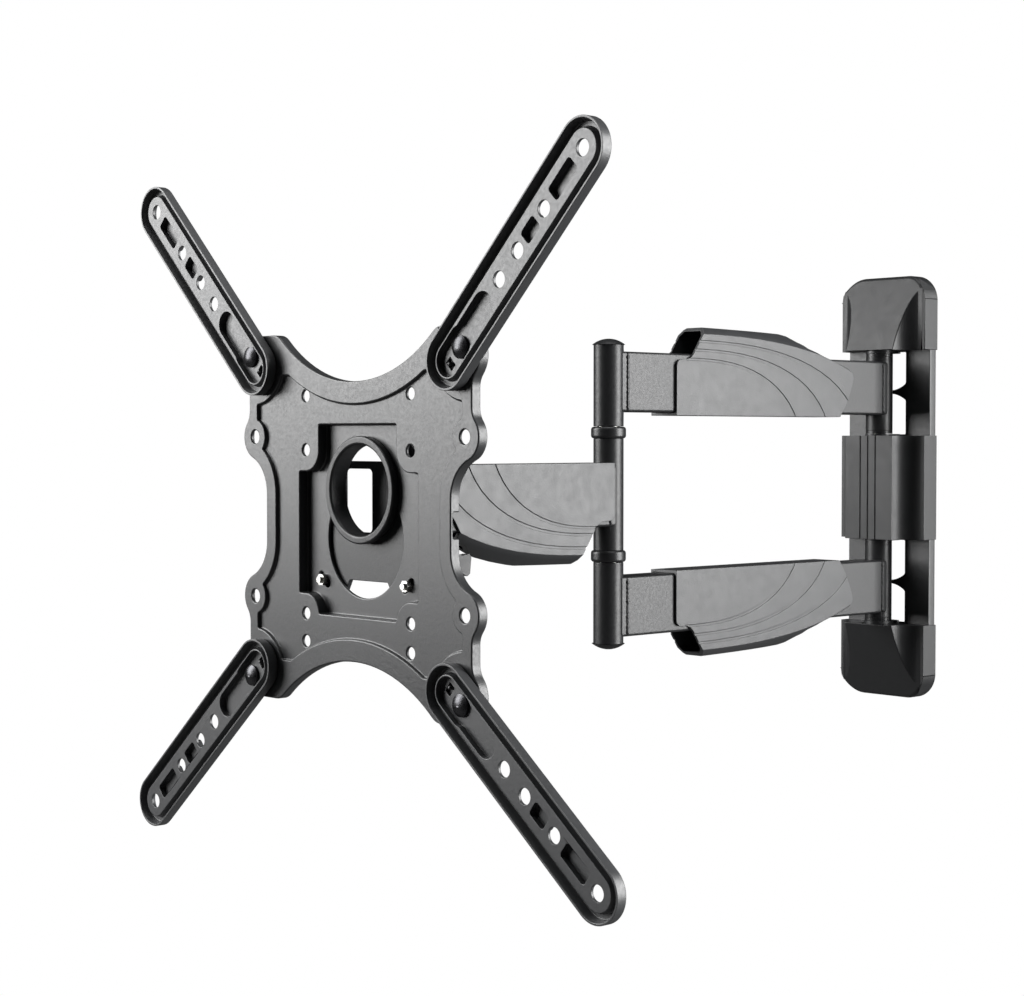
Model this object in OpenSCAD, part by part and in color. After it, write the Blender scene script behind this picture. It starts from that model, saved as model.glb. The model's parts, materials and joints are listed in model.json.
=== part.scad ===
// Full-motion wall mount for a flat screen: wall plate, folding double arm, swivel and tilt head, slotted screen plate.
// Millimetres. The wall is the plane Y = 0, the screen side is -Y, X is to the right facing the wall, Z is up.

/* [Wall plate] */
// Height of the wall plate
wall_h = 316; // [300:2:360]
// Width of the wall plate
wall_w = 75.6; // [72:0.2:84]
// Depth of the folded wall plate
wall_d = 7.5; // [7:0.5:9]
// Sheet of the wall plate
wall_sheet = 2.5; // [2:0.25:3]
// Distance between the two lag bolt holes
lag_spacing = 260; // [250:2:270]

/* [Arms] */
// Wall pivot to elbow
first_reach = 289.8; // [275:0.2:330]
// Elbow to swivel axis
second_reach = 165.7; // [160:0.1:185]
// Width of the steel arm tubes
tube_w = 20; // [18:0.5:20]
// Height of the steel arm tubes
tube_h = 40; // [36:1:42]
// Wall thickness of the arm tubes
tube_wall = 2; // [1.5:0.25:3]
// Height of the upper and lower first arm tubes above and below the middle
arm_z = 74.5; // [72:0.5:76]

/* [Covers] */
// Wall thickness of the moulded covers
cover_wall = 2; // [1.6:0.1:2.2]
// Width of the grooves in the moulded covers
groove_w = 1.6; // [1:0.1:2.4]
// Depth of the grooves in the moulded covers
groove_d = 0.7; // [0.4:0.1:1]

/* [Screen plate] */
// Half the distance between the four adapter arm pivots
pivot_half = 100; // [98:0.5:102]
// Sheet of the screen plate
plate_sheet = 2.2; // [1.8:0.1:2.4]
// Depth of the turned-back rim of the screen plate
rim_d = 7; // [5:0.5:7.5]
// Depth of the recess in the screen plate
recess_d = 8.7; // [8.5:0.1:9]

/* [Adapter arms] */
// Distance between the end centres of an adapter arm
tray_l = 152.1; // [148:0.1:165]
// Half the width of an adapter arm
tray_r = 16.7; // [16:0.1:18]
// Angle of the upper right adapter arm
angle_ur = 45; // [40:1:50]
// Angle of the upper left adapter arm
angle_ul = 44; // [40:1:50]
// Angle of the lower left adapter arm
angle_ll = 41; // [40:1:50]
// Angle of the lower right adapter arm
angle_lr = 38; // [38:1:50]

/* [Hidden] */
$fn = 64;
big = 400;
pivot_y = -19.5;
elbow_y = pivot_y - first_reach;
swivel_y = elbow_y - second_reach;
tilt_y = swivel_y - 28.5;
plate_y = swivel_y - 48.5;
plate_z = -12;
fit_gap = 0.2;
run_gap = 0.05;

// wall end
pivot_top = arm_z + 26.1;
pivot_low = arm_z - 34.1;
sleeve_r = 10;
sleeve_bore = 7.5;
pin_r = 5;
flange_t = 2.2;
lug_t = 4;
lug_w = 21;
lag_r = 4.5;
cup_r = 14;
cover_half = 38.8;
cover_front = 32.5;
cove_r = 17;
cap_low = arm_z + 28.5;
cap_top = wall_h / 2 + 0.8;
centre_h = 39;
cap_slope = 0.365;
corner_r = 19;

// arm covers: start from the elbow axis, end short of the next axis
first_cover_start = 53.3;
first_cover_end = 46;
second_cover_start = 6.1;
second_cover_end = 17.6;

// elbow
shaft_r = 7.5;
collar_r = 11.6;
collar_h = 7.8;
middle_half = 37;
elbow_top = 99;
dome_h = 4;

// head
arm2_z = -1;
ear_t = 3;
ear_r = 12;
yoke_half = 51.3;
web_t = 3;
web_front = tilt_y + 9;
flange_r = 7;
tilt_r = 4;
lock_drop = 36;
lock_back = 9.5;
lock_arc = norm([lock_back, lock_drop]);
lock_angle = atan2(-lock_drop, lock_back);
lock_r = 3;
head_back = plate_y + recess_d + plate_sheet + fit_gap;
head_t = 3;

// screen plate, in its own frame: x right, y up, z towards the screen
eyelet_y = 18.3;
eyelet_r = 30.25;
key_r = 35.5;
key_y = -11;
lobe_c = pivot_half - 4;
lobe_r = 17;
ear_x = 100;
ear_y = 50;
ear_c = 98;
ear_lobe = 14;
arch_r = 110;
arch_y = [193, 194];
tip_r = 12;
waist_x = 106;
waist_r = 12;
notch_x = 88;
notch_r = 24;
notch_y = ear_y - sqrt(pow(notch_r + ear_lobe, 2) - pow(notch_x + notch_r - ear_c, 2));
border = 10;
floor_z = -recess_d;
lock_x = 40;
lock_y = -37;
stud_r = 2;
bolt_r = 4;

// adapter arm, in its own frame: x along the arm from its pivot
tray_in = -10.7;
tray_out = tray_in + tray_l;
tray_top = 6;
tray_rim = 7.8;
tray_sheet = 2;
rib_half = 10.2;
rib_draft = 1.2;
pocket_wall = 1.6;
pivot_pocket = 9.2;
slot_pocket = 8;

steel = [0.20, 0.20, 0.21];
sheet = [0.24, 0.24, 0.25];
plastic = [0.16, 0.16, 0.17];
zinc = [0.62, 0.63, 0.64];
nylon = [0.75, 0.74, 0.70];

// rectangle with true round corners, centred
module round_rect(w, h, r) {
    square([w - 2 * r, h], center = true);
    square([w, h - 2 * r], center = true);
    for (x = [-1, 1], y = [-1, 1])
        translate([x * (w / 2 - r), y * (h / 2 - r)]) circle(r);
}

// ring standing on z0
module ring(r_out, r_in, z0, h) {
    translate([0, 0, z0]) difference() {
        cylinder(r = r_out, h = h);
        translate([0, 0, -1]) cylinder(r = r_in, h = h + 2);
    }
}

// hexagon nut or head, standing on the origin
module hexagon(across, h) {
    cylinder(r = across / sqrt(3), h = h, $fn = 6);
}

module tapped_nut(across, h, r) {
    difference() {
        hexagon(across, h);
        translate([0, 0, -1]) cylinder(r = r, h = h + 2);
    }
}

// round-ended slot along an arc about the origin, w half its width, its ends a hair wider than its band
module arc_slot(r, w, a0, a1) {
    band = w - 0.03;
    for (a = [a0, a1]) rotate(a) translate([r, 0]) circle(w);
    intersection() {
        difference() {
            circle(r + band, $fn = 160);
            circle(r - band, $fn = 160);
        }
        polygon([[0, 0], 1.3 * r * [cos(a0), sin(a0)], 1.3 * r * [cos(a1), sin(a1)]]);
    }
}

// flat plane drawn in Y and Z, given thickness along X, centred
module across_x(w) {
    rotate([90, 0, 90]) linear_extrude(height = w, center = true) children();
}

module wall_plate() {
    bridge = 72;
    window_far = [arm_z + 27.5, arm_z - 34.5];
    color(sheet) difference() {
        union() {
            difference() {
                rotate([90, 0, 0]) linear_extrude(height = wall_d) round_rect(wall_w, wall_h, corner_r);
                translate([0, -wall_d + wall_sheet, 0]) rotate([-90, 0, 0])
                    linear_extrude(height = wall_d)
                    round_rect(wall_w - 2 * wall_sheet, wall_h - 2 * wall_sheet, corner_r - wall_sheet);
            }
            for (s = [-1, 1]) translate([0, 0, s * lag_spacing / 2])
                rotate([90, 0, 0]) cylinder(r = cup_r, h = wall_d);
        }
        for (s = [-1, 1]) translate([0, 0, s * lag_spacing / 2]) rotate([90, 0, 0]) {
            translate([0, 0, -1]) cylinder(r = lag_r, h = wall_d + 2);
            translate([0, 0, wall_sheet]) cylinder(r = cup_r - wall_sheet, h = wall_d);
        }
        for (s = [0, 1]) mirror([0, 0, s]) translate([0, 1, 0]) rotate([90, 0, 0])
            linear_extrude(height = wall_d + 2) {
                bulged_window(bridge + 1.2, window_far[0]);
                translate([0, 2 * bridge]) mirror([0, 1]) bulged_window(bridge + 1.2, 2 * bridge - window_far[1]);
            }
    }
}

// window from the tip of its arched end up to a square end
module bulged_window(tip, end) {
    half = 15.2;
    bulge = 5.3;
    r = (half * half + bulge * bulge) / (2 * bulge);
    intersection() {
        translate([-half, tip]) square([2 * half, end - tip]);
        union() {
            translate([0, tip + r]) circle(r, $fn = 128);
            translate([-half, tip + bulge]) square([2 * half, end - tip - bulge]);
        }
    }
}

module lug(z) {
    translate([0, pivot_y, z]) difference() {
        union() {
            cylinder(r = lug_w / 2, h = lug_t);
            translate([-lug_w / 2, 0, 0]) cube([lug_w, -pivot_y - wall_d, lug_t]);
        }
        translate([0, 0, -1]) cylinder(r = pin_r + run_gap, h = lug_t + 2);
    }
}

module pivot_lugs() {
    color(sheet) for (s = [0, 1]) mirror([0, 0, s]) {
        lug(pivot_top + fit_gap);
        lug(pivot_low - fit_gap - lug_t);
    }
}

module pivot_bolts() {
    low = pivot_low - fit_gap - lug_t;
    high = pivot_top + fit_gap + lug_t;
    color(zinc) for (s = [0, 1]) mirror([0, 0, s]) translate([0, pivot_y, 0]) {
        translate([0, 0, low - 8]) cylinder(r = pin_r, h = high - low + 8);
        translate([0, 0, high]) hexagon(12, 5);
    }
}

module pivot_nuts() {
    low = pivot_low - fit_gap - lug_t;
    color(zinc) for (s = [0, 1]) mirror([0, 0, s])
        translate([0, pivot_y, low - 6]) tapped_nut(14, 6, pin_r);
}

module cover_section(d) {
    front = cover_front - d;
    half = cover_half - d;
    difference() {
        translate([-half, -front]) square([2 * half, front]);
        for (x = [-1, 1]) translate([x * cover_half, -cover_front]) circle(cove_r + d);
    }
}

// room that a cover leaves for the wall plate behind it
module wall_room(z0, z1, skirt) {
    translate([-skirt, -wall_d - fit_gap, z0]) cube([2 * skirt, big, z1 - z0]);
}

module lug_slot(z) {
    translate([-lug_w / 2 - 0.6, -cover_front + cover_wall - 0.3, z])
        cube([lug_w + 1.2, cover_front, 8]);
}

module centre_cover() {
    h = centre_h;
    skirt = wall_w / 2 + 0.1;
    color(plastic) difference() {
        translate([0, 0, -h]) linear_extrude(height = 2 * h) cover_section(0);
        translate([0, 0, -h + cover_wall]) linear_extrude(height = 2 * h - 2 * cover_wall)
            cover_section(cover_wall);
        wall_room(-h - 1, h + 1, skirt);
        for (s = [0, 1]) mirror([0, 0, s]) lug_slot(h - 5);
        for (x = [-7, 0, 7]) translate([x - 1, -cover_front - 1, -h - 1])
            cube([2, 1 + groove_d, 2 * h + 2]);
    }
}

module cap_body(d) {
    low = cap_low + d;
    high = cap_top - d;
    intersection() {
        translate([0, 0, low]) linear_extrude(height = high - low) cover_section(d);
        across_x(2 * cover_half) polygon([
            [d / cos(20) - cover_front, low - 1],
            [d / cos(20) - cover_front, cap_low],
            [d / cos(20) - cover_front + cap_slope * (high - cap_low), high],
            [1, high],
            [1, low - 1]
        ]);
        translate([0, 1, 0]) rotate([90, 0, 0]) linear_extrude(height = cover_front + 2) {
            translate([0, cap_top - 30 - d]) round_rect(2 * (cover_half - d), 60, corner_r - d);
            translate([0, cap_low - 20]) square([2 * (cover_half - d), 60 + cap_top - cap_low], center = true);
        }
    }
}

module end_cap() {
    skirt = wall_w / 2 + 0.1;
    difference() {
        cap_body(0);
        cap_body(cover_wall);
        intersection() {
            wall_room(cap_low - 1, cap_top + 1, skirt);
            translate([0, 1, 0]) rotate([90, 0, 0]) linear_extrude(height = cover_front)
                round_rect(2 * skirt, wall_h + 0.2, corner_r);
        }
        lug_slot(cap_low - 5);
    }
}

module top_cap() {
    color(plastic) end_cap();
}

module bottom_cap() {
    color(plastic) mirror([0, 0, 1]) end_cap();
}

module sleeve(y, z0, z1, bore) {
    translate([0, y, 0]) ring(sleeve_r, bore, z0, z1 - z0);
}

module upper_wall_sleeve() {
    color(steel) sleeve(pivot_y, pivot_low + flange_t, pivot_top - flange_t, sleeve_bore);
}

module lower_wall_sleeve() {
    color(steel) mirror([0, 0, 1])
        sleeve(pivot_y, pivot_low + flange_t, pivot_top - flange_t, sleeve_bore);
}

module flanged_bush(r_flange, t_flange, r_out, r_in, h) {
    difference() {
        union() {
            cylinder(r = r_flange, h = t_flange);
            translate([0, 0, t_flange]) cylinder(r = r_out, h = h);
        }
        translate([0, 0, -1]) cylinder(r = r_in, h = h + t_flange + 2);
    }
}

module wall_bushes() {
    color(nylon) for (s = [0, 1]) mirror([0, 0, s]) translate([0, pivot_y, 0]) {
        translate([0, 0, pivot_low])
            flanged_bush(sleeve_r, flange_t, sleeve_bore, pin_r + run_gap, 12);
        translate([0, 0, pivot_top]) mirror([0, 0, 1])
            flanged_bush(sleeve_r, flange_t, sleeve_bore, pin_r + run_gap, 12);
    }
}

// rectangular tube between two upright sleeves, its ends cut to fit round them
module arm_tube(y_out, y_in, z) {
    cope = 3;
    difference() {
        translate([0, (y_out + y_in) / 2, z]) rotate([90, 0, 0])
            linear_extrude(height = y_in - y_out - 2 * cope, center = true) difference() {
                round_rect(tube_w, tube_h, 2);
                round_rect(tube_w - 2 * tube_wall, tube_h - 2 * tube_wall, 1);
            }
        for (y = [y_out, y_in]) translate([0, y, z - tube_h])
            cylinder(r = sleeve_r + run_gap, h = 2 * tube_h);
    }
}

module upper_arm_tube() {
    color(steel) arm_tube(elbow_y, pivot_y, arm_z);
}

module lower_arm_tube() {
    color(steel) arm_tube(elbow_y, pivot_y, -arm_z);
}

module upper_elbow_sleeve() {
    color(steel) sleeve(elbow_y, middle_half + collar_h + fit_gap, elbow_top, shaft_r + run_gap);
}

module lower_elbow_sleeve() {
    color(steel) mirror([0, 0, 1])
        sleeve(elbow_y, middle_half + collar_h + fit_gap, elbow_top, shaft_r + run_gap);
}

module elbow_shaft() {
    half = elbow_top - 10;
    color(zinc) translate([0, elbow_y, -half]) cylinder(r = shaft_r, h = 2 * half);
}

module elbow_caps() {
    r = collar_r - 0.6;
    dome = (r * r + dome_h * dome_h) / (2 * dome_h);
    color(plastic) for (s = [0, 1]) mirror([0, 0, s]) translate([0, elbow_y, elbow_top]) {
        intersection() {
            cylinder(r = r, h = dome_h);
            translate([0, 0, dome_h - dome]) sphere(r = dome, $fn = 96);
        }
        translate([0, 0, -8]) cylinder(r = shaft_r, h = 8);
    }
}

// height of the cover lines, s along the cover from its mouth, drop measured from the start height
function swept(s, top, a) =
    top - 75 * (1 - pow(1 - pow(min(max(s - 17.5, 0) / a, 0.999), 2.4), 1 / 2.4));

// outline of a cover seen from the side, s along the arm and v away from the tube centre
module cover_side(len, ridge, ridge_s, top, a, d) {
    fall = [[0, 0], [5.6, 5.2], [14.1, 10], [24, 12.9]];
    tail = ridge_s[1] + 24;
    polygon(concat(
        [[d > 0 ? -20 : 0, -22 + d], [len - 15.4 - d, -22 + d], [len - 6.5 - d, -9.4],
            [len - 1.2 - d, 2.5], [len - d, 6.5], [len - 0.6 - d, 9.5], [len - 3 - d, 12.2]],
        [for (i = [0:5]) let (s = len - 8 - (len - 8 - tail) * i / 6)
            [s, min(swept(s, top, a) - d, 30)]],
        [for (i = [3:-1:0]) [ridge_s[1] + (d > 0 ? 30 : 0) + fall[i][0], ridge[1] - fall[i][1] * (ridge[1] - 22) / 15.1 - d]],
        [[ridge_s[0] - (d > 0 ? 50 : 0), ridge[0] - d]],
        d > 0 ? [] : [[17, 20], [14.5, 17.8], [12, 16.5], [5, 16.1], [2.6, 15.6], [0.8, 14], [0, 11.5]]
    ));
}

// the two sloping faces of the hump roof on one side
module roof_cut(len, top, a, half, lift, slope) {
    rotate([0, slope, 0]) rotate([90, 0, 90]) linear_extrude(height = 80, center = true) polygon(concat(
        [for (i = [0:14]) let (s = -30 + (len + 40) * i / 14)
            [s, half * sin(slope) + (swept(s, top, a) + lift) * cos(slope)]],
        [[len + 10, 80], [-30, 80]]
    ));
}

module cover_form(len, ridge, ridge_s, top, a, d) {
    half = tube_w / 2 + cover_wall + run_gap - d;
    difference() {
        across_x(2 * half) cover_side(len, ridge, ridge_s, top, a, d);
        for (m = [0, 1]) mirror([m, 0, 0]) {
            roof_cut(len, top, a, half, -d * 0.6, 52);
            roof_cut(len, top, a, half - 2.7, 3.5 - d * 0.6, 30);
        }
    }
}

module cover_groove(len, top, a) {
    n = 16;
    half = tube_w / 2 + cover_wall + run_gap;
    s_end = 17.5 + a * 0.985;
    s_list = [for (i = [0:n]) 10 + (min(s_end, len + 5) - 10) * sin(90 * i / n)];
    for (x = [-1, 1]) translate([x * half, 0, 0]) across_x(2 * groove_d) polygon(concat(
        [for (s = s_list) [s, swept(s, top, a) + groove_w / 2]],
        [for (i = [n:-1:0]) [s_list[i] - groove_w * 0.75, swept(s_list[i], top, a) - groove_w / 2]]
    ));
}

// moulded cable cover round a tube: sleeve below, hollow hump above, open at both ends of the hump
module arm_cover(len, ridge, ridge_s, lines) {
    top = lines[0][0];
    a = lines[0][1] * len;
    difference() {
        cover_form(len, ridge, ridge_s, top, a, 0);
        intersection() {
            cover_form(len + 30, ridge, ridge_s, top, a, cover_wall);
            translate([-20, -20, 0]) cube([40, len + 60, 60]);
        }
        translate([0, len / 2, 0]) cube([tube_w + 2 * run_gap, len + 60, tube_h + 2 * run_gap], center = true);
        for (i = [1:3]) cover_groove(len, lines[i][0], lines[i][1] * len);
    }
}

// each line: its height at the mouth, and its reach as a share of the cover's length
module first_cover() {
    len = first_reach - first_cover_start - first_cover_end;
    translate([0, elbow_y + first_cover_start, arm_z])
        arm_cover(len, [38.6, 37.1], [30, len - 64.5], [[33.8, 1.129], [28.7, 0.945], [22.7, 0.774], [16.3, 0.609]]);
}

module upper_arm_cover() {
    color(plastic) first_cover();
}

module lower_arm_cover() {
    color(plastic) mirror([0, 0, 1]) first_cover();
}

module elbow_middle_sleeve() {
    color(steel) sleeve(elbow_y, -middle_half, middle_half, shaft_r + 1);
}

module elbow_collars() {
    rim = 2;
    color(nylon) for (s = [0, 1]) mirror([0, 0, s]) translate([0, elbow_y, middle_half])
        rotate_extrude() {
            translate([shaft_r + run_gap, 0]) square([collar_r - rim - shaft_r - run_gap, collar_h]);
            translate([shaft_r + run_gap, rim]) square([collar_r - shaft_r - run_gap, collar_h - 2 * rim]);
            for (z = [rim, collar_h - rim]) translate([collar_r - rim, z]) circle(rim, $fn = 24);
            translate([shaft_r + run_gap, -15]) square([1 - run_gap, 16]);
        }
}

module second_arm_tube() {
    color(steel) arm_tube(swivel_y, elbow_y, arm2_z);
}

module second_arm_cover() {
    len = second_reach - second_cover_start - second_cover_end;
    color(plastic) difference() {
        translate([0, elbow_y - second_cover_start, arm2_z]) rotate([0, 180, 180])
            arm_cover(len, [43.5, 42.5], [33, len - 31], [[37.5, 1.127], [33, 0.97], [24.5, 0.822], [20, 0.669]]);
        translate([0, elbow_y, -2 * middle_half]) cylinder(r = sleeve_r + fit_gap, h = 4 * middle_half);
    }
}

module swivel_sleeve() {
    half = 19;
    color(steel) sleeve(swivel_y, arm2_z - half, arm2_z + half, sleeve_bore);
}

module swivel_bushes() {
    half = 21;
    color(nylon) for (s = [0, 1]) translate([0, swivel_y, arm2_z]) mirror([0, 0, s])
        translate([0, 0, half]) mirror([0, 0, 1]) flanged_bush(sleeve_r, 2, sleeve_bore, pin_r + run_gap, 12);
}

module swivel_yoke() {
    low = arm2_z - 21 - fit_gap - ear_t;
    high = arm2_z + 21 + fit_gap + ear_t;
    web_y = web_front;
    color(sheet) difference() {
        union() {
            translate([-yoke_half, web_y, low]) cube([2 * yoke_half, web_t, high - low]);
            for (z = [low, high - ear_t]) translate([0, swivel_y, z]) {
                cylinder(r = ear_r, h = ear_t);
                translate([-ear_r, web_y - swivel_y, 0]) cube([2 * ear_r, swivel_y - web_y, ear_t]);
            }
            for (m = [0, 1]) mirror([m, 0, 0]) translate([yoke_half - web_t, 0, 0]) rotate([90, 0, 90])
                linear_extrude(height = web_t) {
                    translate([tilt_y, low]) square([web_y - tilt_y + 1, high - low]);
                    translate([tilt_y, 0]) circle(flange_r);
                    translate([tilt_y, 0]) polygon([[-flange_r, 0], [-1.5, low], [1, low], [1, 0]]);
                    if (m == 0) translate([tilt_y, 0]) {
                        translate([lock_back, -lock_drop]) circle(flange_r);
                        polygon([
                            [lock_back - flange_r, -lock_drop], [-1.5, low], [-1.5, low + 2],
                            [web_y - tilt_y + web_t, low + 2], [web_y - tilt_y + web_t, low],
                            [lock_back + flange_r, -lock_drop]
                        ]);
                    }
                }
        }
        for (m = [0, 1]) mirror([m, 0, 0]) translate([32.6, web_y + web_t + 1, arm2_z]) rotate([90, 0, 0])
            linear_extrude(height = web_t + 2) round_rect(28, 39, 3);
        translate([0, swivel_y, low - 1]) cylinder(r = pin_r + run_gap, h = high - low + 2);
        translate([0, tilt_y, 0]) rotate([0, 90, 0]) cylinder(r = tilt_r + run_gap, h = 120, center = true);
        translate([0, tilt_y + lock_back, -lock_drop]) rotate([0, 90, 0])
            cylinder(r = lock_r + run_gap, h = 60);
    }
}

module swivel_bolt() {
    low = arm2_z - 21 - fit_gap - ear_t;
    high = arm2_z + 21 + fit_gap + ear_t;
    color(zinc) translate([0, swivel_y, 0]) {
        translate([0, 0, low - 8]) cylinder(r = pin_r, h = high - low + 8);
        translate([0, 0, high]) hexagon(15, 6);
    }
}

module swivel_nut() {
    low = arm2_z - 21 - fit_gap - ear_t;
    color(zinc) translate([0, swivel_y, low - 6.5]) tapped_nut(15, 6.5, pin_r);
}

module tilt_bolts() {
    inner = yoke_half - 2 * web_t - 0.6;
    color(zinc) for (m = [0, 1]) mirror([m, 0, 0]) translate([inner, tilt_y, 0]) rotate([0, 90, 0]) {
        translate([0, 0, -4]) cylinder(r = tilt_r, h = 4 + yoke_half - inner + 7);
        translate([0, 0, -5]) cylinder(r = 5.4, h = 4.8);
    }
}

module tilt_nuts() {
    color(zinc) for (m = [0, 1]) mirror([m, 0, 0]) translate([yoke_half, tilt_y, 0])
        rotate([0, 90, 0]) tapped_nut(12.5, 6, tilt_r);
}

module lock_bolt() {
    inner = yoke_half - 2 * web_t - 0.6;
    color(zinc) translate([inner, tilt_y + lock_back, -lock_drop]) rotate([0, 90, 0]) {
        translate([0, 0, -3]) cylinder(r = lock_r, h = 3 + yoke_half - inner + 8);
        translate([0, 0, -3.4]) cylinder(r = 5, h = 3.2);
    }
}

module tilt_lever() {
    color(plastic) translate([yoke_half, tilt_y + lock_back, -lock_drop]) difference() {
        union() {
            rotate([0, 90, 0]) cylinder(r = 5.8, h = 9);
            across_lever();
        }
        translate([-1, 0, 0]) rotate([0, 90, 0]) cylinder(r = lock_r, h = 9);
    }
}

// short handle that points back from the hub and flares at its end
module across_lever() {
    translate([2, 0, 0]) rotate([90, 0, 90]) linear_extrude(height = 6)
        polygon([[0, -4.5], [4, -5.5], [8.5, -7.5], [10.5, -6], [11.5, 3.5], [10, 5.5], [4, 4.5], [0, 4.5]]);
}

module head_plate() {
    low = -47;
    high = 52;
    half = yoke_half - web_t - 0.3;
    color(sheet) difference() {
        union() {
            translate([0, head_back + head_t, plate_z]) rotate([90, 0, 0]) linear_extrude(height = head_t)
                polygon([
                    [-half, low + 10], [-half + 10, low], [-24, low], [-18, -36.3], [18, -36.3], [24, low],
                    [half - 10, low], [half, low + 10], [half, high - 14], [half - 14, high],
                    [14 - half, high], [-half, high - 14]
                ]);
            for (m = [0, 1]) mirror([m, 0, 0]) translate([half - web_t, 0, 0]) rotate([90, 0, 90])
                linear_extrude(height = web_t) {
                    translate([tilt_y, 0]) circle(flange_r);
                    translate([head_back + 1, -flange_r]) square([tilt_y - head_back - 1, 2 * flange_r]);
                    if (m == 0) {
                        translate([head_back + 1, -lock_drop - 9]) square([tilt_y - head_back - 1, lock_drop]);
                        translate([tilt_y, 0]) arc_slot(lock_arc, lock_r + 2.2, lock_angle - 16, lock_angle + 5.6);
                    }
                }
        }
        translate([0, head_back + head_t + 1, plate_z + eyelet_y]) rotate([90, 0, 0])
            cylinder(r = eyelet_r, h = head_t + 2);
        translate([0, tilt_y, 0]) rotate([0, 90, 0]) cylinder(r = tilt_r + run_gap, h = 2 * yoke_half, center = true);
        translate([1, tilt_y, 0]) rotate([90, 0, 90]) linear_extrude(height = half)
            arc_slot(lock_arc, lock_r + 0.3, lock_angle - 16, lock_angle + 5.6);
        for (x = [-1, 1]) translate([x * lock_x, head_back + head_t + 1, plate_z + lock_y])
            rotate([90, 0, 0]) cylinder(r = stud_r + run_gap, h = head_t + 2);
    }
}

module on_plate() {
    translate([0, plate_y, plate_z]) rotate([90, 0, 0]) children();
}

module eyelet() {
    back = -recess_d - plate_sheet - fit_gap - head_t;
    color(steel) on_plate() translate([0, eyelet_y, 0]) rotate_extrude($fn = 128) polygon([
        [27.2, back - 1.5], [eyelet_r + 2, back - 1.5], [eyelet_r + 2, back], [eyelet_r, back],
        [eyelet_r, floor_z + 0.2], [31.6, floor_z + 0.2], [32.3, floor_z + 1], [32.3, -4.3],
        [31.5, -3.5], [28.2, -3.5], [27.2, -4.5]
    ]);
}

module lock_studs() {
    color(zinc) on_plate() for (x = [-1, 1]) translate([x * lock_x, lock_y, 0]) {
        translate([0, 0, floor_z - plate_sheet - fit_gap - head_t - 1]) cylinder(r = stud_r, h = 11.1);
        translate([0, 0, floor_z - plate_sheet - fit_gap - head_t - 2.6]) cylinder(r = 3.6, h = 2.6);
    }
}

module lock_nuts() {
    color(zinc) on_plate() for (x = [-1, 1]) translate([x * lock_x, lock_y, floor_z + 0.1])
        tapped_nut(6.6, 2.8, stud_r);
}

// outline of the screen plate, drawn in by d
module plate_outline(d) {
    fillet_x = waist_x + waist_r;
    fillet_low = ear_y + sqrt(pow(ear_lobe + waist_r, 2) - pow(fillet_x - ear_c, 2));
    fillet_high = lobe_c - sqrt(pow(lobe_r + waist_r, 2) - pow(fillet_x - lobe_c, 2));
    top = lobe_c + lobe_r;
    difference() {
        union() {
            square([2 * (waist_x - d), 2 * (top - d)], center = true);
            for (m = [0, 1], n = [0, 1]) mirror([m, 0]) mirror([0, n]) {
                translate([lobe_c, lobe_c]) circle(lobe_r - d);
                translate([ear_c, ear_y]) circle(ear_lobe - d);
                difference() {
                    union() {
                        polygon([[ear_c, ear_y], [fillet_x, fillet_low], [ear_c, fillet_low]]);
                        polygon([[lobe_c, lobe_c], [fillet_x, fillet_high], [lobe_c, fillet_high]]);
                    }
                    for (y = [fillet_low, fillet_high]) translate([fillet_x, y]) circle(waist_r + d);
                }
            }
        }
        for (m = [0, 1], n = [0, 1]) mirror([m, 0]) mirror([0, n]) {
            difference() {
                translate([lobe_c, lobe_c]) square(40);
                translate([lobe_c, lobe_c]) circle(lobe_r - d);
            }
            difference() {
                polygon([
                    [ear_c, ear_y], [notch_x + notch_r, notch_y], [notch_x + 2 * notch_r, notch_y],
                    [notch_x + 2 * notch_r, ear_y]
                ]);
                translate([ear_c, ear_y]) circle(ear_lobe - d);
            }
        }
        for (m = [0, 1], n = [0, 1]) mirror([m, 0]) mirror([0, n]) let (
            tip_x = sqrt(pow(arch_r + tip_r, 2) - pow(arch_y[n] - top + tip_r, 2))
        ) difference() {
            polygon([[0, arch_y[n]], [tip_x, top - tip_r], [tip_x, arch_y[n]]]);
            translate([tip_x, top - tip_r]) circle(tip_r - d);
        }
        arched_edges(arch_r + d);
        side_notches(d);
    }
}

module arched_edges(r) {
    for (n = [0, 1]) mirror([0, n]) translate([0, arch_y[n]]) circle(r, $fn = 160);
}

// the two waists at the plate's sides, each touching the ears' round ends
module side_notches(d) {
    for (m = [0, 1]) mirror([m, 0]) {
        for (y = [-notch_y, notch_y]) translate([notch_x + notch_r, y]) circle(notch_r + d);
        translate([notch_x - d, -notch_y]) square([notch_r + 20, 2 * notch_y]);
    }
}

// the pressed-back field inside the flat border, drawn in by d
module plate_field(d) {
    difference() {
        square([195 - 2 * d, 176 - 2 * d], center = true);
        arched_edges(arch_r + 13.5 + d);
        side_notches(border + d);
        for (x = [-1, 1], y = [-1, 1]) {
            translate([x * ear_x, y * ear_y]) circle(10.7 + d);
            translate([x * pivot_half, y * pivot_half]) circle(30 + d);
        }
    }
}

// the deep recess in the middle, its corners kept up as round bosses, drawn in by d
module plate_recess(d) {
    boss = 13 + d;
    difference() {
        square([113 - 2 * d, 115 - 2 * d], center = true);
        for (m = [0, 1], n = [0, 1]) mirror([m, 0]) translate([50, n == 0 ? 42 : -58.5]) mirror([0, n]) {
            circle(boss);
            translate([0, -boss]) square([20, 20 + boss]);
            translate([-boss, 0]) square([20 + boss, 20]);
        }
    }
}

module plate_holes() {
    for (x = [-1, 1]) {
        for (y = [-1, 1]) {
            translate([x * pivot_half, y * pivot_half]) circle(bolt_r + run_gap);
            translate([x * ear_x, y * ear_y]) circle(4.2);
        }
        for (y = [75, 42, -58, -75]) translate([x * 50, y]) circle(3.6);
    }
}

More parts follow.
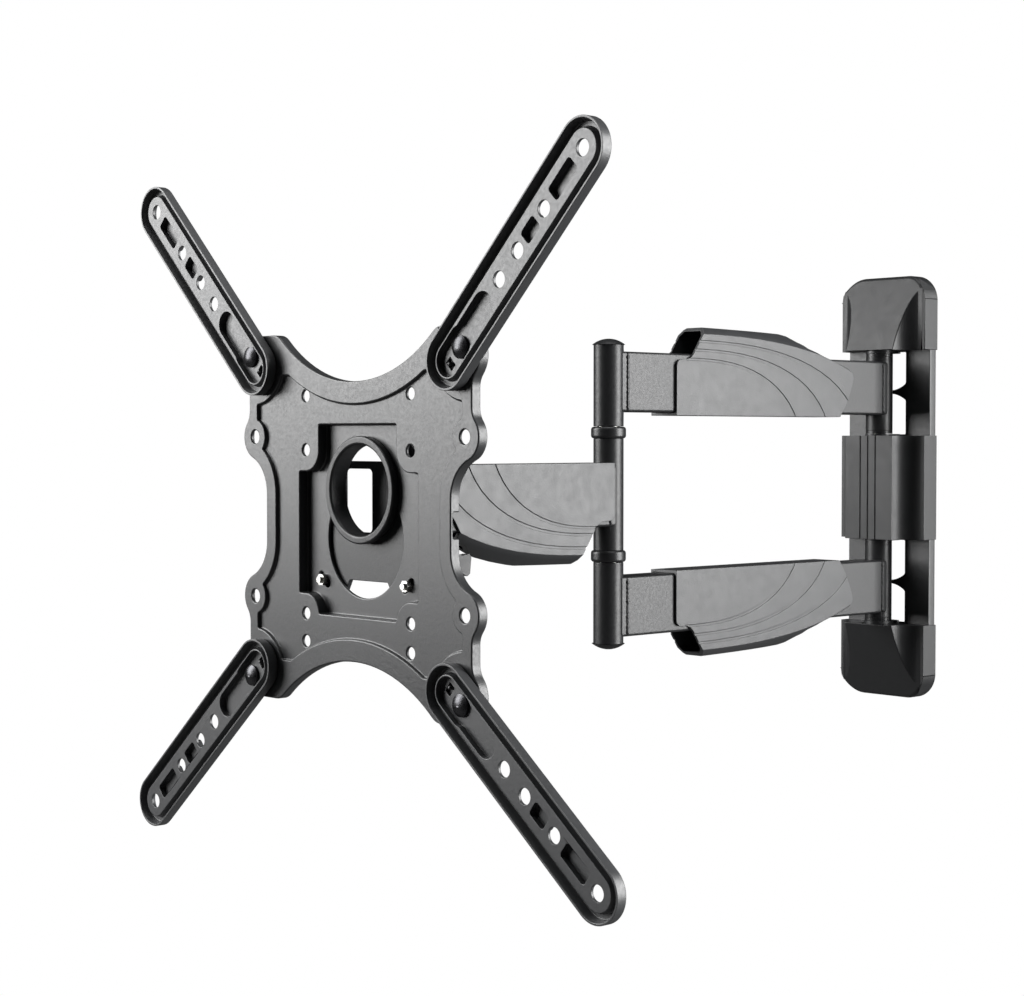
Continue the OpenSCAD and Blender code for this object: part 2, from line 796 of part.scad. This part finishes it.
// slot for one lock stud, an arc about the eyelet
module level_slot(side) {
    base = atan2(lock_y - eyelet_y, side * lock_x);
    translate([0, eyelet_y])
        arc_slot(norm([lock_x, eyelet_y - lock_y]), stud_r + 0.3, base - 3.2, base + 3.2);
}

module vesa_plate() {
    t = plate_sheet;
    color(sheet) on_plate() difference() {
        union() {
            translate([0, 0, -t]) linear_extrude(height = t) plate_outline(0);
            difference() {
                translate([0, 0, -rim_d]) linear_extrude(height = rim_d) difference() {
                    plate_outline(0);
                    plate_outline(t);
                }
                for (x = [-1, 1]) translate([x * 92, 0, -rim_d - t]) cube([20, 15, 2 * rim_d], center = true);
            }
            translate([0, 0, -2 * t]) linear_extrude(height = t) plate_field(-t);
            translate([0, 0, floor_z - t]) linear_extrude(height = recess_d) plate_recess(-t);
            for (x = [-1, 1], y = [-1, 1]) translate([x * (pivot_half - 9.2), y * (pivot_half - 9.2), 1])
                rotate(x * y * 45) cube([2, 2.4, 6], center = true);
        }
        translate([0, 0, -t]) linear_extrude(height = t + 1) plate_field(0);
        translate([0, 0, floor_z]) linear_extrude(height = recess_d + 1) plate_recess(0);
        translate([0, 0, -30]) linear_extrude(height = 40) {
            translate([0, key_y]) circle(key_r, $fn = 128);
            translate([0, eyelet_y]) circle(eyelet_r + run_gap, $fn = 128);
            for (side = [-1, 1]) level_slot(side);
            plate_holes();
        }
    }
}

module arm_bolts() {
    dome = 12;
    color(zinc) on_plate() for (x = [-1, 1], y = [-1, 1]) translate([x * pivot_half, y * pivot_half, 0]) {
        translate([0, 0, -11]) cylinder(r = bolt_r, h = 13.5);
        translate([0, 0, tray_sheet + 0.1]) intersection() {
            cylinder(r = 6.5, h = 4);
            translate([0, 0, 3.4 - dome]) sphere(r = dome, $fn = 96);
        }
    }
}

module arm_nuts() {
    color(zinc) on_plate() for (x = [-1, 1], y = [-1, 1])
        translate([x * pivot_half, y * pivot_half, -plate_sheet - 5.5]) tapped_nut(13, 5.5, bolt_r);
}

// long round-ended slab, half width r0 at z0 and r1 at z1
module taper_slab(r0, r1, z0, z1) {
    for (x = [tray_in, tray_out]) translate([x, 0, z0]) cylinder(r1 = r0, r2 = r1, h = z1 - z0);
    translate([tray_in, 0, 0]) rotate([90, 0, 90]) linear_extrude(height = tray_l)
        polygon([[-r0, z0], [r0, z0], [r1, z1], [-r1, z1]]);
}

// round-ended bar from x0 to x1, r half its width
module stadium(x0, x1, r) {
    for (x = [x0, x1]) translate([x, 0]) circle(r);
    translate([x0, -r]) square([x1 - x0, 2 * r]);
}

// the pockets pressed back into the raised rib, drawn out by d
module pockets(d, z0, z1) {
    translate([0, 0, z0]) linear_extrude(height = z1 - z0) {
        translate([tray_out - 56.1, 0]) round_rect(13 + 2 * d, 9 + 2 * d, 2 + d);
        translate([tray_out - 20.9, 0]) round_rect(22.5 + 2 * d, 9.5 + 2 * d, 2 + d);
        stadium(tray_in, 4, pivot_pocket + d);
        stadium(tray_in, 30.6, slot_pocket + d);
    }
}

// stamped channel: flat floor, turned-up rim and a hollow raised rib along its middle
module tray() {
    difference() {
        union() {
            difference() {
                union() {
                    taper_slab(tray_r - 1.4, tray_r, 0, 1.4);
                    taper_slab(tray_r, tray_r, 1.4, tray_rim);
                }
                taper_slab(tray_r - 2.6, tray_r - 1.4, tray_sheet, tray_rim + 0.01);
            }
            taper_slab(rib_half + rib_draft, rib_half, tray_sheet - 0.5, tray_top);
        }
        difference() {
            taper_slab(rib_half + rib_draft - tray_sheet, rib_half - tray_sheet, -0.5, tray_top - tray_sheet);
            pockets(pocket_wall, -1, tray_top);
        }
        pockets(0, tray_sheet, tray_rim);
        translate([0, 0, -1]) cylinder(r = bolt_r + run_gap, h = tray_rim);
        for (x = [tray_out - 91.4, tray_out - 70.7, tray_out - 41.4, tray_out])
            translate([x, 0, -1]) cylinder(r = 4.6, h = tray_rim + 2);
        translate([-13, 0, 2]) cube([4.7, 6.5, 12], center = true);
    }
}

module placed_tray(x, y, angle) {
    color(sheet) on_plate() translate([x * pivot_half, y * pivot_half, 0.1]) rotate(angle) tray();
}

module tray_upper_right() {
    placed_tray(1, 1, angle_ur);
}

module tray_upper_left() {
    placed_tray(-1, 1, 180 - angle_ul);
}

module tray_lower_left() {
    placed_tray(-1, -1, 180 + angle_ll);
}

module tray_lower_right() {
    placed_tray(1, -1, -angle_lr);
}

wall_plate();
pivot_lugs();
pivot_bolts();
pivot_nuts();
top_cap();
bottom_cap();
centre_cover();
upper_wall_sleeve();
lower_wall_sleeve();
wall_bushes();
upper_arm_tube();
lower_arm_tube();
upper_elbow_sleeve();
lower_elbow_sleeve();
elbow_shaft();
elbow_caps();
upper_arm_cover();
lower_arm_cover();
elbow_middle_sleeve();
elbow_collars();
second_arm_tube();
second_arm_cover();
swivel_sleeve();
swivel_bushes();
swivel_yoke();
swivel_bolt();
swivel_nut();
tilt_bolts();
tilt_nuts();
lock_bolt();
tilt_lever();
head_plate();
eyelet();
lock_studs();
lock_nuts();
vesa_plate();
arm_bolts();
arm_nuts();
tray_upper_right();
tray_upper_left();
tray_lower_left();
tray_lower_right();
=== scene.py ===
import bpy
import json
import math
import random
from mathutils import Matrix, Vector


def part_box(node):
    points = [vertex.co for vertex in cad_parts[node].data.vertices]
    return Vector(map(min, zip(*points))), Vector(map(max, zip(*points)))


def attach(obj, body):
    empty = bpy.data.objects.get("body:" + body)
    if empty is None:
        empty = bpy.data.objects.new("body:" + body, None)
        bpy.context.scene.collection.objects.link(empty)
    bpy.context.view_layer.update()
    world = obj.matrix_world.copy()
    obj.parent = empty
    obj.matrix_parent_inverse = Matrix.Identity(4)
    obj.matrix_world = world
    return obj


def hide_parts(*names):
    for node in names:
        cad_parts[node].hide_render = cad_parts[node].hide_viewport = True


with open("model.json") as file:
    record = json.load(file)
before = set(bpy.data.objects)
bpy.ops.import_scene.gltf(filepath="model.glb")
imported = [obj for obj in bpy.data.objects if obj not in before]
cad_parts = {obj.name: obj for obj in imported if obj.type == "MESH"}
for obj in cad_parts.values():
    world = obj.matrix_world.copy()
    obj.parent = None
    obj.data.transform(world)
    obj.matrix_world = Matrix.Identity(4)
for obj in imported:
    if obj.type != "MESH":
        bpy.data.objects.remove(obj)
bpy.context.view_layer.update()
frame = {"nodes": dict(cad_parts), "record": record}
scene = bpy.context.scene

# The wall plate: one folded steel plate with pressed cups under its two lag bolts and four welded lugs
# for the pivots, all in graphite powder coat with a fine grain and a slow drift of shade.


class Field:
    """One output of a node, so that sums on a finish read as sums."""

    def __init__(self, finish, socket):
        self.finish = finish
        self.socket = socket

    def _maths(self, operation, a, b):
        return self.finish.node("ShaderNodeMath", {"operation": operation}, [a, b])[0]

    def __add__(self, other):
        return self._maths("ADD", self, other)

    def __radd__(self, other):
        return self._maths("ADD", other, self)

    def __mul__(self, other):
        return self._maths("MULTIPLY", self, other)

    def __rmul__(self, other):
        return self._maths("MULTIPLY", other, self)


class Finish:
    """A material with one shader, written as fields over the piece's own metres."""

    def __init__(self, name, **constants):
        self.material = bpy.data.materials.new(name)
        self.material.use_nodes = True
        self.tree = self.material.node_tree
        self.tree.nodes.clear()
        self.shader = self.tree.nodes.new("ShaderNodeBsdfPrincipled")
        self.end = self.tree.nodes.new("ShaderNodeOutputMaterial")
        self.tree.links.new(self.shader.outputs[0], self.end.inputs["Surface"])
        for key, value in constants.items():
            self.shader.inputs[key.replace("_", " ")].default_value = value
        self.place = self.node("ShaderNodeTexCoord")[3]

    def node(self, kind, settings=None, inputs=()):
        made = self.tree.nodes.new(kind)
        for key, value in (settings or {}).items():
            setattr(made, key, value)
        pairs = inputs.items() if isinstance(inputs, dict) else enumerate(inputs)
        for key, value in pairs:
            if isinstance(value, Field):
                self.tree.links.new(value.socket, made.inputs[key])
            else:
                made.inputs[key].default_value = value
        return [Field(self, socket) for socket in made.outputs]

    def noise(self, per_metre, detail=2.0, rough=0.5):
        return self.node("ShaderNodeTexNoise", {}, {
            "Vector": self.place, "Scale": per_metre, "Detail": detail, "Roughness": rough})[0]

    def step(self, value, low, high, to_low=0.0, to_high=1.0):
        return self.node("ShaderNodeMapRange", {"clamp": True}, [value, low, high, to_low, to_high])[0]

    def blend(self, share, a, b):
        return self.node("ShaderNodeMix", {"data_type": "RGBA"}, {0: share, 6: a, 7: b})[2]

    def feed(self, **fields):
        for key, field in fields.items():
            self.tree.links.new(field.socket, self.shader.inputs[key.replace("_", " ")])

    def grain(self, height, depth, strength):
        self.feed(Normal=self.node(
            "ShaderNodeBump", {}, {"Strength": strength, "Distance": depth, "Height": height})[0])


def greys(shade, drift=1.2, warm=0.97, cold=1.05):
    """The two ends of a slow drift of shade: nearly neutral greys with a touch more blue than red."""
    return [(warm * s, s, cold * s, 1.0) for s in (shade, drift * shade)]


def powder_coat(name, shade, rough, depth, shine):
    """Baked powder paint: a fine orange peel, and a painted highlight: convex corners coloured much lighter
    in patches, as rounded edges catch the light.
    """
    dark, light = greys(shade)
    # Painted highlight: a grey 2.4 times lighter, laid in patches over convex corners found by their
    # pointiness.
    edge_highlight_colour = tuple(2.4 * c for c in light[:3]) + (1.0,)
    coat = Finish(name, IOR=1.52, Specular_IOR_Level=shine)
    grain = coat.noise(1500.0, 2.0, 0.6)
    peel = coat.noise(480.0)
    convex_edge_mask = coat.step(coat.node("ShaderNodeNewGeometry")[7], 0.53, 0.62)
    base = coat.blend(coat.step(coat.noise(9.0, 3.0), 0.35, 0.65), dark, light)
    # Painted highlight mask: convex corners broken up by noise, at about a third of full strength.
    painted_edge_highlight = convex_edge_mask * coat.step(coat.noise(60.0, 3.0), 0.35, 0.75) * 0.35
    coat.feed(
        Base_Color=coat.blend(painted_edge_highlight, base, edge_highlight_colour),
        Roughness=coat.step(peel, 0.3, 0.7, rough - 0.04, rough + 0.05))
    coat.grain(grain * 0.5 + peel, depth, 0.45)
    return coat.material


def paint(material, *nodes):
    for node in nodes:
        thing = frame["nodes"][node]
        thing.data.materials.clear()
        thing.data.materials.append(material)


body_of_node = {
    node: body for body, nodes in frame["record"]["behaviour"]["bodies"].items() for node in nodes}
mm = 1000.0
merge_gap = 0.000003
flat_angle = math.radians(0.4)
sharp_angle = math.radians(28.0)
smooth_angle = math.radians(38.0)


def everywhere(a, b):
    return 1.0


def softened(slot, radius, *nodes, steps=2, share=everywhere):
    """Copies with rounded edges, as pressing or moulding leaves them, are shown in place of the nodes.

    share gives each sharp edge its part of the radius, from its two ends in millimetres."""
    for node in nodes:
        source = frame["nodes"][node]
        piece = source.copy()
        piece.data = source.data.copy()
        piece.name = node + "_rounded"
        piece.parent = None
        scene.collection.objects.link(piece)
        bpy.ops.object.select_all(action="DESELECT")
        piece.select_set(True)
        bpy.context.view_layer.objects.active = piece
        bpy.ops.object.mode_set(mode="EDIT")
        bpy.ops.mesh.select_all(action="SELECT")
        bpy.ops.mesh.customdata_custom_splitnormals_clear()
        bpy.ops.mesh.remove_doubles(threshold=merge_gap)
        bpy.ops.mesh.dissolve_limited(angle_limit=flat_angle)
        bpy.ops.mesh.select_all(action="DESELECT")
        bpy.ops.mesh.select_mode(type="EDGE")
        bpy.ops.mesh.edges_select_sharp(sharpness=sharp_angle)
        bpy.ops.object.mode_set(mode="OBJECT")
        weights = piece.data.attributes.new("bevel_weight_edge", "FLOAT", "EDGE")
        for edge in piece.data.edges:
            if edge.select:
                ends = [piece.data.vertices[end].co * mm for end in edge.vertices]
                weights.data[edge.index].value = share(*ends)
        rounding = piece.modifiers.new("rounding", "BEVEL")
        rounding.width = radius
        rounding.segments = steps
        rounding.limit_method = "WEIGHT"
        rounding.use_clamp_overlap = False
        rounding.miter_outer = "MITER_ARC"
        bpy.ops.object.modifier_apply(modifier="rounding")
        bpy.ops.object.shade_smooth_by_angle(angle=smooth_angle)
        evening = piece.modifiers.new("evening", "WEIGHTED_NORMAL")
        evening.keep_sharp = True
        bpy.ops.object.modifier_apply(modifier="evening")
        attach(piece, body_of_node[node])
        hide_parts(node)


paint_grain = 0.00010
bracket_paint = powder_coat("bracket_paint", 0.021, 0.38, paint_grain, 0.52)
paint(bracket_paint, "wall_plate", "pivot_lugs")
softened("painted_bracket", 0.0008, "wall_plate")

# The three covers of the wall plate: moulded plastic shells, clipped on over its ends and its middle,
# with a fine eroded grain. The rims of the slanted cap fronts are rounded by some three millimetres.


def moulded(name, shade, rough, shine):
    """Fine-grained moulded plastic with faint flow marks in its shine."""
    dark, light = greys(shade)
    skin = Finish(name, IOR=1.49, Specular_IOR_Level=shine)
    spark = skin.node("ShaderNodeTexVoronoi", {"feature": "F1"}, {"Vector": skin.place, "Scale": 1400.0})[0]
    flow = skin.noise(140.0, 3.0)
    skin.feed(
        Base_Color=skin.blend(skin.step(skin.noise(7.0), 0.3, 0.7), dark, light),
        Roughness=skin.step(flow, 0.3, 0.7, rough - 0.03, rough + 0.04))
    skin.grain(spark + flow * 0.4, 0.00008, 0.4)
    return skin.material


cap_side, cap_end = (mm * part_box("top_cap")[1][axis] for axis in (0, 2))
cap_mouth = 103.0
cap_front = 32.5
cap_slope = 0.365
cap_corner = 19.0
on_face = 0.06
on_curve = 0.15
skirt_depth = 8.0


def on_cap_front(point):
    return abs(point.y + cap_front - cap_slope * (abs(point.z) - cap_mouth)) < on_face


def on_cap_rim(point):
    across, up = cap_side - abs(point.x), cap_end - abs(point.z)
    if min(across, up) < on_face:
        return True
    in_corner = across < cap_corner and up < cap_corner
    return in_corner and cap_corner - math.hypot(cap_corner - across, cap_corner - up) < on_curve


def cap_share(a, b):
    """The rim of a cap's slanted front is rounded in full, its swept coves and its sides by a fifth."""
    front = on_cap_front(a) and on_cap_front(b)
    rim = on_cap_rim(a) and on_cap_rim(b)
    if front and rim:
        return 1.0
    return 0.22 if front or (rim and min(a.y, b.y) < -skirt_depth) else 0.0


cover_skin = moulded("cover_skin", 0.018, 0.40, 0.42)
paint(cover_skin, "top_cap", "bottom_cap", "centre_cover")
softened("moulded_cover", 0.0026, "top_cap", "bottom_cap", steps=4, share=cap_share)
softened("moulded_cover", 0.0003, "centre_cover")

# The wall pivots: zinc plated bolts and nuts through the lugs, and black nylon bushes with thin flanges
# between the lugs and the ends of the sleeves.


def plated(name, colour, tint, rough):
    """Plated steel, clouded and finely scratched."""
    plate = Finish(name, Metallic=1.0)
    scratch = plate.noise(1500.0)
    plate.feed(
        Base_Color=plate.blend(plate.step(plate.noise(220.0, 3.0), 0.35, 0.7), colour, tint),
        Roughness=plate.step(scratch, 0.3, 0.7, rough - 0.06, rough + 0.08))
    plate.grain(scratch, 0.00004, 0.4)
    return plate.material


zinc_skin = plated("zinc_skin", (0.62, 0.63, 0.64, 1.0), (0.70, 0.68, 0.60, 1.0), 0.28)
nylon_skin = moulded("nylon_skin", 0.016, 0.34, 0.55)
paint(zinc_skin, "pivot_bolts", "pivot_nuts")
paint(nylon_skin, "wall_bushes")

# The folding arms: rectangular steel tubes coped to round sleeves and welded to them, in the same graphite
# paint. The elbow turns on a bar inside its sleeves, with thick nylon collars and domed end plugs.
tube_paint = powder_coat("tube_paint", 0.018, 0.38, 0.00012, 0.46)
arm_steel = (
    "upper_wall_sleeve", "lower_wall_sleeve", "upper_elbow_sleeve", "lower_elbow_sleeve",
    "elbow_middle_sleeve", "upper_arm_tube", "lower_arm_tube", "second_arm_tube")
paint(tube_paint, *arm_steel)
softened("painted_tube", 0.0004, *arm_steel)
paint(zinc_skin, "elbow_shaft")
paint(nylon_skin, "elbow_collars")
paint(cover_skin, "elbow_caps")

# The welds of the arms: a rippled bead down each side of a tube's end, where it is coped to its sleeve,
# laid in short steps before the paint. One bead is drawn ring by ring and copied to every joint.
bead_radius = 0.0013
bead_length = 0.038
bead_rings = 34
tip = 0.5
unevenness = 0.12
ripple = random.Random(5)
bpy.ops.object.select_all(action="DESELECT")
bpy.ops.mesh.primitive_circle_add(
    vertices=10, radius=bead_radius * tip, fill_type="NGON", location=(0.0, 0.0, 0.0))
bead = bpy.context.object
bead.name = "weld_bead"
bpy.ops.object.mode_set(mode="EDIT")
bpy.ops.mesh.select_all(action="SELECT")
reach = tip
for ring in range(bead_rings):
    wave = 1.0 + 0.14 * math.sin(ring * 2.1)
    last = ring == bead_rings - 1
    wanted = tip if last else wave + ripple.uniform(-unevenness, unevenness)
    bpy.ops.mesh.extrude_region_move(
        TRANSFORM_OT_translate={"value": (0.0, 0.0, bead_length / bead_rings)})
    bpy.ops.transform.resize(value=(wanted / reach, wanted / reach, 1.0))
    reach = wanted
bpy.ops.mesh.select_all(action="SELECT")
bpy.ops.mesh.normals_make_consistent(inside=False)
bpy.ops.object.mode_set(mode="OBJECT")
bpy.ops.object.shade_smooth_by_angle(angle=math.radians(60.0))
bead.data.materials.append(tube_paint)

bead_side = 0.0096
first_arm_level = 0.0745
second_arm_level = -0.001
wall_end, elbow_end, second_arm_end = -0.0275, -0.3013, -0.3173
weld_places = []
for side in (-bead_side, bead_side):
    for level in (-first_arm_level, first_arm_level):
        weld_places.append((side, wall_end, level, "first_arm"))
        weld_places.append((side, elbow_end, level, "first_arm"))
    weld_places.append((side, second_arm_end, second_arm_level, "second_arm"))
for number, (side, y, level, body) in enumerate(weld_places, start=1):
    weld = bead.copy()
    weld.data = bead.data.copy()
    weld.name = "weld_bead_%d" % number
    scene.collection.objects.link(weld)
    bpy.ops.object.select_all(action="DESELECT")
    weld.select_set(True)
    bpy.context.view_layer.objects.active = weld
    bpy.ops.object.mode_set(mode="EDIT")
    bpy.ops.mesh.select_all(action="SELECT")
    bpy.ops.transform.translate(value=(side, y, level - bead_length / 2))
    bpy.ops.object.mode_set(mode="OBJECT")
    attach(weld, body)
bpy.data.objects.remove(bead)

# The cable covers of the arms: moulded sleeves that slide over the tubes, each with a hollow hump that is
# open at both ends and three swept grooves on each side.
arm_cover_skin = moulded("arm_cover_skin", 0.034, 0.42, 0.62)
arm_covers = ("upper_arm_cover", "lower_arm_cover", "second_arm_cover")
paint(arm_cover_skin, *arm_covers)
softened("moulded_cover", 0.00035, *arm_covers)

# The head: a folded yoke that swivels on a plated bolt in nylon bushes, and a plate that tilts in it on two
# more bolts, with a plastic lever for the lock and a ring of tube on which the screen plate hangs.
paint(tube_paint, "swivel_sleeve", "eyelet")
paint(nylon_skin, "swivel_bushes")
paint(bracket_paint, "swivel_yoke", "head_plate")
paint(
    zinc_skin, "swivel_bolt", "swivel_nut", "tilt_bolts", "tilt_nuts", "lock_bolt", "lock_studs", "lock_nuts")
paint(cover_skin, "tilt_lever")
softened("painted_bracket", 0.0005, "head_plate", "eyelet")

# The screen plate: one sheet of stamped steel, with the soft edges of the press round its rim, its field
# and its recess. Four blackened bolts and their nuts hold the adapter arms to it.
sheet_paint = powder_coat("sheet_paint", 0.028, 0.38, paint_grain, 0.68)
bolt_skin = plated("bolt_skin", (0.055, 0.055, 0.058, 1.0), (0.075, 0.075, 0.080, 1.0), 0.30)
paint(sheet_paint, "vesa_plate")
paint(bolt_skin, "arm_bolts", "arm_nuts")
softened("painted_sheet", 0.0009, "vesa_plate", steps=3)

# The four adapter arms: pressed steel channels with a raised middle, sunk pockets and rows of screw holes,
# in a coat that shines a little more than that of the plate.
# Painted light: this copy of the graphite coat is lighter (0.042 against the plate's 0.028), standing in for
# the brighter light that the trays catch.
tray_paint = powder_coat("tray_paint", 0.042, 0.42, paint_grain, 0.8)
trays = ("tray_upper_right", "tray_upper_left", "tray_lower_left", "tray_lower_right")
paint(tray_paint, *trays)
softened("painted_sheet", 0.0004, *trays)

# The picture: a long lens at the height of the mount, two tall soft panels at its sides and one above,
# in a dark room that the lens alone sees as white.
eye = bpy.data.cameras.new("eye")
eye.lens = 73.11
eye.sensor_width = 36.0
eye.clip_start = 0.05
eye.clip_end = 60.0
eye_object = bpy.data.objects.new("eye", eye)
scene.collection.objects.link(eye_object)
eye_object.location = (0.97355, -1.28715, 0.0382)
view_turn = math.radians(47.53)
view_drop = math.radians(1.69)
level_part = math.cos(view_drop)
look = Vector((-math.sin(view_turn) * level_part, math.cos(view_turn) * level_part, -math.sin(view_drop)))
eye_object.rotation_mode = "QUATERNION"
eye_object.rotation_quaternion = look.to_track_quat("-Z", "Y")
scene.camera = eye_object
scene.view_settings.view_transform = "Standard"

room = bpy.data.worlds.new("room")
scene.world = room
room.use_nodes = True
room_tree = room.node_tree
room_tree.nodes.clear()
path = room_tree.nodes.new("ShaderNodeLightPath")
which = room_tree.nodes.new("ShaderNodeMixShader")
room_end = room_tree.nodes.new("ShaderNodeOutputWorld")
room_tree.links.new(path.outputs["Is Camera Ray"], which.inputs[0])
for slot, colour, strength in ((1, (0.9, 0.95, 1.0, 1.0), 0.01), (2, (1.0, 1.0, 1.0, 1.0), 1.0)):
    side = room_tree.nodes.new("ShaderNodeBackground")
    side.inputs["Color"].default_value = colour
    side.inputs["Strength"].default_value = strength
    room_tree.links.new(side.outputs[0], which.inputs[slot])
room_tree.links.new(which.outputs[0], room_end.inputs["Surface"])

middle_of_part = Vector((0.0, -0.27, 0.0))
for name, place, width, height, power in (
        ("left_panel", (-1.75, -1.95, 0.86), 1.6, 2.0, 90.0),
        ("right_panel", (2.0, 1.15, 0.45), 1.5, 2.2, 125.0),
        ("top_panel", (0.2, -0.4, 2.4), 1.6, 1.6, 24.0)):
    panel = bpy.data.lights.new(name, "AREA")
    panel.shape = "RECTANGLE"
    panel.size = width
    panel.size_y = height
    panel.energy = power
    lamp = bpy.data.objects.new(name, panel)
    scene.collection.objects.link(lamp)
    lamp.location = place
    lamp.rotation_mode = "QUATERNION"
    lamp.rotation_quaternion = (middle_of_part - Vector(place)).to_track_quat("-Z", "Y")

# The floor: a wide plain sheet well below the arm, white to the lens and dark to the part,
# so that no light comes up from it.
floor_size = 14.0
floor_level = -0.9
bpy.ops.object.select_all(action="DESELECT")
bpy.ops.mesh.primitive_plane_add(size=floor_size, location=(0.0, 0.0, 0.0))
floor = bpy.context.object
floor.name = "floor"
bpy.ops.object.mode_set(mode="EDIT")
bpy.ops.mesh.select_all(action="SELECT")
bpy.ops.transform.translate(value=(0.0, 0.0, floor_level))
bpy.ops.object.mode_set(mode="OBJECT")
sheet = Finish("floor_finish", Roughness=0.9)
sheet.feed(Base_Color=sheet.blend(sheet.noise(3.0), (0.10, 0.10, 0.10, 1.0), (0.12, 0.12, 0.12, 1.0)))
glow = sheet.node("ShaderNodeEmission", {}, {"Color": (1.0, 1.0, 1.0, 1.0), "Strength": 1.0})[0]
straight = sheet.node("ShaderNodeLightPath")[0]
shown = sheet.tree.nodes.new("ShaderNodeMixShader")
sheet.tree.links.new(straight.socket, shown.inputs[0])
sheet.tree.links.new(sheet.shader.outputs[0], shown.inputs[1])
sheet.tree.links.new(glow.socket, shown.inputs[2])
sheet.tree.links.new(shown.outputs[0], sheet.end.inputs["Surface"])
floor.data.materials.append(sheet.material)
